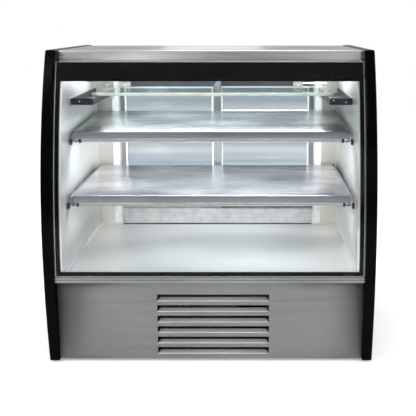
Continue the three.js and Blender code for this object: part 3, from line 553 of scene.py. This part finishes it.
def turned(bm, profile, centre, axis, sides, index=0):
    """Adds a turned solid: profile is (radius, distance along the axis), from the axis back to the axis."""
    turn = Vector((0, 0, 1)).rotation_difference(Vector(axis)).to_matrix()
    rings = []
    for radius, along in profile:
        count = 1 if radius == 0 else sides
        ring = []
        for i in range(count):
            angle = 2 * math.pi * i / sides
            spot = Vector((radius * math.cos(angle), radius * math.sin(angle), along))
            ring.append(bm.verts.new(Vector(centre) + turn @ spot))
        rings.append(ring)
    for first, second in zip(rings, rings[1:]):
        for i in range(sides):
            near = [first[i % len(first)], first[(i + 1) % len(first)]]
            far = [second[(i + 1) % len(second)], second[i % len(second)]]
            corners = list(dict.fromkeys(near + far))
            if len(corners) > 2:
                bm.faces.new(corners).material_index = index


def screw(bm, centre, axis, radius, index=0):
    """Adds a pan-head screw with a recess."""
    shares = [(0, 0), (1, 0), (1, 0.25), (0.8, 0.55), (0.45, 0.68), (0.34, 0.25), (0, 0.2)]
    profile = [(across * radius, along * radius) for across, along in shares]
    turned(bm, profile, centre, axis, sides=12, index=index)


def rectangle(left, right, bottom, top):
    """Corners of a rectangle seen from the front, as (x, z)."""
    return [(left, bottom), (right, bottom), (right, top), (left, top)]


def mitred_frame(bm, outer, inner, front, rear, top_index=0):
    """Adds four mitred bars between two rectangles. The top bar may have a look of its own."""
    for i in range(4):
        j = (i + 1) % 4
        is_top = i == 2
        prism(bm, [outer[i], outer[j], inner[j], inner[i]], "y", front, rear, top_index if is_top else 0)


def smooth(piece):
    """Shades a piece smoothly."""
    piece.data.polygons.foreach_set("use_smooth", [True] * len(piece.data.polygons))


def soften(piece, width, segments=3):
    """Rounds a piece's sharp edges."""
    smooth(piece)
    modifier = piece.modifiers.new("edge_round", "BEVEL")
    modifier.width = width
    modifier.segments = segments
    modifier.limit_method = "ANGLE"
    modifier.angle_limit = SHARP
    modifier.harden_normals = True


def make_piece(name, bm, looks, body="cabinet", replaces=(), edge=0.0, shell=0.0):
    """Turns a bmesh into a piece that rides on a body. An open skin gets its thickness from shell."""
    if not shell:
        bmesh.ops.recalc_face_normals(bm, faces=bm.faces)
    mesh = bpy.data.meshes.new(name)
    bm.to_mesh(mesh)
    bm.free()
    for look in looks:
        mesh.materials.append(LOOK[look])
    piece = bpy.data.objects.new(name, mesh)
    bpy.context.scene.collection.objects.link(piece)
    if shell:
        modifier = piece.modifiers.new("sheet", "SOLIDIFY")
        modifier.thickness = shell
        modifier.offset = -1
    if edge:
        soften(piece, edge)
    else:
        smooth(piece)
        mesh.set_sharp_from_angle(angle=SHARP)
    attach(piece, body)
    if replaces:
        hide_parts(*replaces)


def lead(name, points, radius, look="black_plastic"):
    """A thin cable that is clipped between two housings."""
    data = bpy.data.curves.new(name, "CURVE")
    data.dimensions = "3D"
    data.bevel_depth = radius
    data.bevel_resolution = 3
    data.resolution_u = 6
    data.use_fill_caps = True
    spline = data.splines.new("BEZIER")
    spline.bezier_points.add(len(points) - 1)
    for knot, place in zip(spline.bezier_points, points):
        knot.co = place
        knot.handle_left_type = "AUTO"
        knot.handle_right_type = "AUTO"
    data.materials.append(LOOK[look])
    piece = bpy.data.objects.new(name, data)
    bpy.context.scene.collection.objects.link(piece)
    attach(piece, "cabinet")


# ---------------------------------------------------------------- bowed side profile
def bow(start, end, radius):
    """The forward-bowed arc through two (y, z) points, as its centre's y and z and its radius."""
    start, end = Vector(start), Vector(end)
    half = (end - start).length / 2
    reach = math.sqrt(radius ** 2 - half ** 2) / (2 * half)
    middle = (start + end) / 2
    step = end - start
    return (middle.x + reach * step.y, middle.y - reach * step.x, radius)


def bow_radius(rise, set_back):
    """Radius of the arc that is upright at one end and stands set_back behind it at the other."""
    return (rise ** 2 + set_back ** 2) / (2 * set_back)


def bow_y(arc, height, offset=0.0):
    """Where such an arc, moved back by offset, stands at a height."""
    y, z, radius = arc
    return y - math.sqrt((radius - offset) ** 2 - (height - z) ** 2)


def bow_points(arc, low, high, steps):
    """Points of such an arc between two heights."""
    return [(bow_y(arc, height), height) for height in steps_between(low, high, steps)]


GLASS_BOW = bow(GLASS_FOOT, GLASS_HEAD, GLASS_RADIUS)


def bowed_sheet(bm, columns, heights, front, back, keep, rim=0):
    """Adds a bowed plate between two offsets from the front glass.

    It has the cells between columns and heights for which keep(column, row) is true.
    """
    layers = []
    for offset in (front, back):
        profile = [(bow_y(GLASS_BOW, height, offset), height) for height in heights]
        layers.append([[(x, y, height) for y, height in profile] for x in columns])
    made = {}

    def vertex(layer, i, j):
        if (layer, i, j) not in made:
            made[layer, i, j] = bm.verts.new(layers[layer][i][j])
        return made[layer, i, j]

    cells = [(i, j) for i in range(len(columns) - 1) for j in range(len(heights) - 1) if keep(i, j)]
    for i, j in cells:
        corners = [(i, j), (i + 1, j), (i + 1, j + 1), (i, j + 1)]
        for layer in (0, 1):
            bm.faces.new([vertex(layer, *corner) for corner in corners])
        beyond = [(i, j - 1), (i + 1, j), (i, j + 1), (i - 1, j)]
        for k in range(4):
            if beyond[k] in cells:
                continue
            a, b = corners[k], corners[(k + 1) % 4]
            face = bm.faces.new([vertex(0, *a), vertex(0, *b), vertex(1, *b), vertex(1, *a)])
            face.material_index = rim


# ---------------------------------------------------------------- casing pieces
def end_frames():
    """Glossy black end panels with a bowed front edge."""
    low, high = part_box("right_end_frame")
    foot = (FRAME_FOOT_Y, low.z)
    bulge = (low.y, BULGE_Z)
    head = (FRAME_TOP_Y, high.z)
    lower = bow(foot, bulge, bow_radius(BULGE_Z - low.z, FRAME_FOOT_Y - low.y))
    upper = bow(bulge, head, bow_radius(high.z - BULGE_Z, FRAME_TOP_Y - low.y))
    outline = bow_points(lower, low.z, BULGE_Z, 24) + bow_points(upper, BULGE_Z, high.z, 30)[1:]
    outline += [(high.y, high.z), (high.y, low.z)]
    for name, side in SIDES:
        left, right = sorted((side * low.x, side * high.x))
        bm = bmesh.new()
        prism(bm, outline, "x", left, right)
        make_piece(f"{name}_end_frame_panel", bm, ["gloss_black"],
                   replaces=[f"{name}_end_frame"], edge=5.5 * MM)


def top_panel():
    """Brushed steel top, folded down at the front into the fascia and at the rear into a flange."""
    low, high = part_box("top_panel")
    inset = SHEET / 2
    rear_flange = 12 * MM
    bend = 4 * MM
    path = [(low.y + inset, low.z), (low.y + inset, high.z - inset),
            (high.y - inset, high.z - inset), (high.y - inset, high.z - rear_flange)]
    bm = bmesh.new()
    prism(bm, sheet_outline(path, SHEET, bend), "x", low.x, high.x)
    make_piece("folded_steel_top", bm, ["steel"], replaces=["top_panel"])


def front_pane():
    """Bowed front pane with polished edges."""
    low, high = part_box("front_glass")
    heights = steps_between(low.z, high.z, 40)
    bm = bmesh.new()
    bowed_sheet(bm, [low.x, high.x], heights, 0, GLASS_THICK, lambda i, j: True, rim=1)
    make_piece("bowed_front_pane", bm, ["front_glass", "glass_edge"],
               body="front_glass_lid", replaces=["front_glass"])


def glass_border():
    """Black print behind the front pane: its header band, sides and lower edge."""
    low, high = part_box("glass_border")
    columns = [low.x + EDGE_WIDE, low.x + BORDER_WIDE, high.x - BORDER_WIDE, high.x - EDGE_WIDE]
    window_low = low.z + BORDER_WIDE
    beside_window = steps_between(window_low, BORDER_TOP_Z, 32)
    header = steps_between(BORDER_TOP_Z, high.z, 4)
    heights = [low.z, *beside_window, *header[1:]]
    front = GLASS_THICK + 0.4 * MM

    def is_printed(i, j):
        in_middle = i == 1
        return not in_middle or heights[j] < window_low - MM or heights[j] > BORDER_TOP_Z - MM

    bm = bmesh.new()
    bowed_sheet(bm, columns, heights, front, front + BORDER_THICK, is_printed)
    make_piece("printed_glass_border", bm, ["printed_black"],
               body="front_glass_lid", replaces=["glass_border"])


def louvre_vane(bm, left, right, rise):
    """Adds a vane that curls back and up by rise from the lower edge of its opening."""
    depth = 13 * MM
    taper = 9 * MM              # how far each end draws in
    curl = 1.15
    steps = 6
    near = (left, right)
    for k in range(1, steps + 1):
        share = k / steps
        y = left.co.y + depth * share ** curl
        z = left.co.z + rise * share
        far_left = bm.verts.new((left.co.x + taper * share, y, z))
        far_right = bm.verts.new((right.co.x - taper * share, y, z))
        # Index 1 gives the vane the lighter copy of the panel's look: painted light.
        bm.faces.new((*near, far_right, far_left)).material_index = 1
        near = (far_left, far_right)


def louvred_panel():
    """Grey base panel pressed from one sheet, with open-ended louvres that lean back into it; their vanes
    carry painted light.
    """
    low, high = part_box("front_base_panel")
    count = 6                   # louvres
    tall = 26 * MM              # height of an opening
    pitch = 41 * MM
    slit = 13.5 * MM            # gap left open above a vane
    half = 206 * MM             # half width of an opening
    centre = 10 * MM
    first_top = 262 * MM
    fold_end = high.y - 2 * MM
    tops = [first_top - row * pitch for row in range(count)][::-1]
    heights = [low.z] + [z for top in tops for z in (top - tall, top)] + [high.z]
    columns = [low.x, centre - half, centre + half, high.x]
    bm = bmesh.new()
    grid = [[bm.verts.new((x, low.y, z)) for x in columns] for z in heights]
    for j in range(len(heights) - 1):
        crosses_louvre = j % 2 == 1
        for i in range(len(columns) - 1):
            if crosses_louvre and i == 1:
                continue
            bm.faces.new((grid[j][i], grid[j][i + 1], grid[j + 1][i + 1], grid[j + 1][i]))
    for row in range(count):
        lower_edge = grid[2 * row + 1]
        louvre_vane(bm, lower_edge[1], lower_edge[2], tall - slit)
    for edge, is_top in ((grid[-1], True), (grid[0], False)):
        back = [bm.verts.new((vert.co.x, fold_end, vert.co.z)) for vert in edge]
        for i in range(len(columns) - 1):
            corners = [edge[i], edge[i + 1], back[i + 1], back[i]]
            bm.faces.new(corners if is_top else corners[::-1])
    make_piece("pressed_louvre_panel", bm, ["panel_grey", "vane_painted_light"],
               replaces=["front_base_panel"], shell=1.5 * MM)


def service_screws():
    """Pan-head screws that hold the rear service panel."""
    low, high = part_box("rear_service_panel")
    columns = (-0.54, 0.0, 0.54)
    rows = (low.z + 14 * MM, high.z - 12 * MM)
    bm = bmesh.new()
    for x in columns:
        for z in rows:
            screw(bm, (x, high.y, z), (0, 1, 0), radius=3.5 * MM)
    make_piece("service_panel_screws", bm, ["screw"])


# ---------------------------------------------------------------- shelves and lamps
LAMP_CAP = 9 * MM               # length of a shelf lamp's end cap
PLUG_IN = 529.2 * MM            # inner and outer side of a lamp plug, from the middle
PLUG_OUT = 535.5 * MM
LEAD_SAG = 516 * MM             # where a lead hangs lowest
LEAD_END = 530 * MM             # where it enters the plug


def shelf(level):
    """Folded steel shelf: front lip with a return, rear flange and turned-down ends."""
    low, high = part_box(f"{level}_shelf")
    front_return = 12 * MM
    rear_flange = 14 * MM
    side_flange = 13 * MM
    bend = 2.4 * MM
    half = SHEET / 2
    front_z = low.z + SHELF_LIP
    slope = (high.z - front_z) / (high.y - low.y)
    path = [(low.y + front_return, low.z + half), (low.y + half, low.z + half),
            (low.y + half, front_z - half), (high.y - half, high.z - half),
            (high.y - half, high.z - rear_flange)]
    bm = bmesh.new()
    faces = prism(bm, sheet_outline(path, SHEET, bend), "x", low.x, high.x)
    bmesh.ops.recalc_face_normals(bm, faces=faces)
    # Faces that look forward get the darker copy of the steel: painted shade on the front lip.
    for face in faces:
        looks_forward = face.normal.y < -0.8
        if looks_forward:
            face.material_index = 1

    ends = (low.y + 4 * MM, high.y - 3 * MM)
    top = [(y, front_z + slope * (y - low.y) - SHEET) for y in ends]
    flange = top + [(y, z - side_flange) for y, z in top[::-1]]
    for _, side in SIDES:
        left, right = sorted((side * (high.x - SHEET), side * high.x))
        prism(bm, flange, "x", left, right)
    make_piece(f"{level}_folded_shelf", bm, ["shelf_steel", "shaded_lip_steel"],
               replaces=[f"{level}_shelf"], edge=0.4 * MM)


def lamp_cap(level, name, side, low, high):
    """End cap of a shelf lamp, standing a little proud in front."""
    left, right = sorted((side * (high.x - LAMP_CAP), side * high.x))
    proud = 0.5 * MM
    bm = bmesh.new()
    block(bm, (left, low.y - proud, low.z), (right, high.y, high.z))
    make_piece(f"{level}_{name}_lamp_cap", bm, ["dark"], edge=MM)


def lamp_plug(level, name, side, low, high):
    """Plug of a shelf lamp, with a round socket in front."""
    left, right = sorted((side * PLUG_IN, side * PLUG_OUT))
    front = low.y - 3 * MM
    bottom = low.z - 8 * MM
    deep = 16 * MM
    radius = 4 * MM
    bore = 2.2 * MM
    length = 4 * MM
    floor = 2 * MM              # of the bore
    socket = [(0, 0), (radius, 0), (radius, length), (bore, length), (bore, floor), (0, floor)]
    bm = bmesh.new()
    block(bm, (left, front, bottom), (right, front + deep, high.z - MM))
    turned(bm, socket, ((left + right) / 2, front, (bottom + high.z) / 2), (0, -1, 0), sides=12)
    make_piece(f"{level}_{name}_lamp_plug", bm, ["black_plastic"], edge=MM)


def lamp_lead(level, name, side, low, high):
    """Short cable from a lamp's end cap to its plug."""
    y = (low.y + high.y) / 2 - 6 * MM
    z = (low.z + high.z) / 2
    points = [(side * high.x, y, z), (side * LEAD_SAG, y - 3 * MM, z - 4 * MM), (side * LEAD_END, y, z)]
    lead(f"{level}_{name}_lamp_lead", points, 1.8 * MM)


def light_bar(level):
    """Lamp under a shelf's front edge: channel, frosted cover, and a cap, a plug and a lead at each end."""
    low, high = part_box(f"{level}_light_bar")
    left, right = low.x + LAMP_CAP, high.x - LAMP_CAP
    channel_low = high.z - 5 * MM
    neck_low = channel_low - 2 * MM
    neck_in = 3 * MM
    middle = (low.y + high.y) / 2
    reach = (high.y - low.y) / 2 - 1.5 * MM
    channel = [(low.y, high.z), (high.y, high.z), (high.y, channel_low), (low.y, channel_low)]
    cover = half_round(middle, reach, neck_low, neck_low - low.z, steps=12)
    neck = [(middle + reach - neck_in, channel_low), (middle - reach + neck_in, channel_low)]
    bm = bmesh.new()
    prism(bm, channel, "x", left, right)
    prism(bm, cover + neck, "x", left, right, index=1)
    make_piece(f"{level}_lamp", bm, ["track", "dim_diffuser"],
               replaces=[f"{level}_light_bar"], edge=0.3 * MM)
    for name, side in SIDES:
        lamp_cap(level, name, side, low, high)
        lamp_plug(level, name, side, low, high)
        lamp_lead(level, name, side, low, high)


def canopy_lamp():
    """Lamp under the canopy, behind the header band, with a cream holder at both ends."""
    low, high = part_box("canopy_light")
    holder = 12 * MM
    left, right = low.x + holder, high.x - holder
    base_low = high.z - 6 * MM
    middle = (low.y + high.y) / 2
    reach = (high.y - low.y) / 2 - 2 * MM
    bm = bmesh.new()
    block(bm, (left, low.y, base_low), (right, high.y, high.z))
    prism(bm, half_round(middle, reach, base_low, base_low - low.z, steps=14), "x", left, right, index=1)
    make_piece("canopy_lamp", bm, ["white", "diffuser"], replaces=["canopy_light"])
    for name, side in SIDES:
        inner, outer = sorted((side * (high.x - holder), side * high.x))
        bm = bmesh.new()
        block(bm, (inner, low.y - MM, low.z - MM), (outer, high.y + MM, high.z))
        make_piece(f"canopy_{name}_lamp_holder", bm, ["cream"], edge=1.5 * MM)


def door_head_lamp():
    """Cream holders along the head of the doors, and the end of the slim lamp that they carry."""
    track_low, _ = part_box("door_track_top")
    rear = track_low.y - MM
    front = rear - 22 * MM
    low_z, high_z = 0.966, 0.991
    holders = {"left_outer": (-0.506, -0.458), "left_inner": (-0.428, -0.382), "right": (0.338, 0.380)}
    for name, (left, right) in holders.items():
        bm = bmesh.new()
        block(bm, (left, front, low_z), (right, rear, high_z))
        screw(bm, ((left + right) / 2, front, (low_z + high_z) / 2), (0, -1, 0), radius=4 * MM, index=1)
        make_piece(f"door_head_{name}_holder", bm, ["cream", "screw"], edge=1.2 * MM)
    lamp_left, lamp_right = 0.381, 0.486
    bm = bmesh.new()
    block(bm, (lamp_left, front + 4 * MM, high_z - 9 * MM), (lamp_right, rear - 4 * MM, high_z - 2 * MM))
    make_piece("door_head_lamp_end", bm, ["diffuser"], edge=MM)


# ---------------------------------------------------------------- rear doors
def door(name):
    """Door frame of four mitred rails, with a pale gasket on both sides of the pane."""
    low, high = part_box(f"{name}_door_frame")
    left, right = low.x + DOOR_STILE, high.x - DOOR_STILE
    bottom, top = low.z + DOOR_BOTTOM_RAIL, high.z - DOOR_TOP_RAIL
    opening = rectangle(left, right, bottom, top)
    body = f"{name}_door"
    bm = bmesh.new()
    mitred_frame(bm, rectangle(low.x, high.x, low.z, high.z), opening, low.y, high.y, top_index=1)
    make_piece(f"{name}_door_rails", bm, ["bracket", "dark_rail"], body=body,
               replaces=[f"{name}_door_frame"], edge=0.8 * MM)

    seal = 7 * MM
    inset = 1.5 * MM            # behind the frame's faces
    gap = 0.1 * MM              # to the pane
    lip = rectangle(left + seal, right - seal, bottom + seal, top - seal)
    pane_low, pane_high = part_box(f"{name}_door_glass")
    gaskets = {"front": (low.y + inset, pane_low.y - gap), "rear": (pane_high.y + gap, high.y - inset)}
    for place, (near, far) in gaskets.items():
        bm = bmesh.new()
        mitred_frame(bm, opening, lip, near, far)
        make_piece(f"{name}_door_{place}_gasket", bm, ["white"], body=body, edge=0.6 * MM)


# ---------------------------------------------------------------- glass shelf
def top_bracket_screws():
    """Screws on the trough brackets of the glass shelf: one on the left, two on the right."""
    places = {                  # share of the way outwards, and height from the bracket's middle
        "left": [(0.62, 0.0)],
        "right": [(0.18, 5 * MM), (0.72, -3 * MM)],
    }
    for name, side in SIDES:
        low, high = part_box(f"{name}_top_bracket")
        middle = (low.z + high.z) / 2
        bm = bmesh.new()
        for share, rise in places[name]:
            from_left = share if side > 0 else 1 - share
            x = low.x + (high.x - low.x) * from_left
            screw(bm, (x, low.y, middle + rise), (0, -1, 0), radius=3 * MM)
        make_piece(f"{name}_top_bracket_screws", bm, ["screw"])


def glass_shelf():
    """Top glass shelf with ground edges, and the edge look on its front edge."""
    low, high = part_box("top_glass_shelf")
    cut = 0.7 * MM
    outline = [(low.y, low.z + cut), (low.y + cut, low.z), (high.y - cut, low.z), (high.y, low.z + cut),
               (high.y, high.z - cut), (high.y - cut, high.z), (low.y + cut, high.z), (low.y, high.z - cut)]
    bm = bmesh.new()
    for face in prism(bm, outline, "x", low.x, high.x):
        is_front_edge = face.calc_center_median().y < low.y + 2 * cut
        if is_front_edge:
            face.material_index = 1
    make_piece("ground_edge_glass_shelf", bm, ["shelf_glass", "glass_edge"],
               replaces=["top_glass_shelf"])


# ---------------------------------------------------------------- carried-over CAD nodes
NODE_LOOKS = {
    "liner": ["left_side_liner", "right_side_liner"],
    "deck": ["deck_pan"],
    "pilaster": ["left_rear_pilaster", "right_rear_pilaster"],
    "fins": ["condenser_coil", "condenser_fan"],
    "dark_rail": ["door_track_top"],
    "steel": ["rear_header"],
    "white": ["canopy_ceiling", "left_shelf_standard", "right_shelf_standard"],
    "shaded_lip_steel": ["front_sill"],
    "track": ["door_track_bottom"],
    "aluminium": ["glass_hinge_rod", "evaporator_coil"],
    # The base tray and the condenser fan shroud take this near-black so that the space behind the louvres
    # reads dark: painted shade.
    "dark": ["cold_well", "base_tray", "left_top_bracket", "right_top_bracket", "condenser_fan_shroud",
             "thermostat_button"],
    "bracket": ["upper_left_bracket", "upper_right_bracket", "lower_left_bracket",
                "lower_right_bracket"],
    "panel_grey": ["rear_service_panel"],
    "door_glass": ["left_door_glass", "right_door_glass"],
    "copper": ["suction_pipe"],
    "pump_black": ["compressor", "condenser_fan_motor"],
    "black_plastic": ["glass_top_rail", "front_left_glide", "front_right_glide", "rear_left_glide",
                      "rear_right_glide", "evaporator_fan_motor", "evaporator_fan", "drain_tray",
                      "left_door_pull", "right_door_pull", "thermostat", "power_switch", "light_switch",
                      "power_inlet"],
}
FINE_NODES = {"left_shelf_standard", "right_shelf_standard", "condenser_coil", "evaporator_coil",
              "thermostat"}


def carry():
    """Gives every CAD node that stays a material and rounded edges."""
    for look, nodes in NODE_LOOKS.items():
        for node in nodes:
            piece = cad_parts[node]
            piece.data.materials.clear()
            piece.data.materials.append(LOOK[look])
            soften(piece, 0.25 * MM if node in FINE_NODES else 0.7 * MM, segments=2)


make_camera()
make_world()
make_floor()
studio_lights()
cabinet_lights()
carry()
end_frames()
top_panel()
front_pane()
glass_border()
louvred_panel()
service_screws()
for shelf_level in ("upper", "lower"):
    shelf(shelf_level)
    light_bar(shelf_level)
canopy_lamp()
door_head_lamp()
for door_name, _ in SIDES:
    door(door_name)
top_bracket_screws()
glass_shelf()

bpy.context.scene.view_settings.view_transform = "Standard"
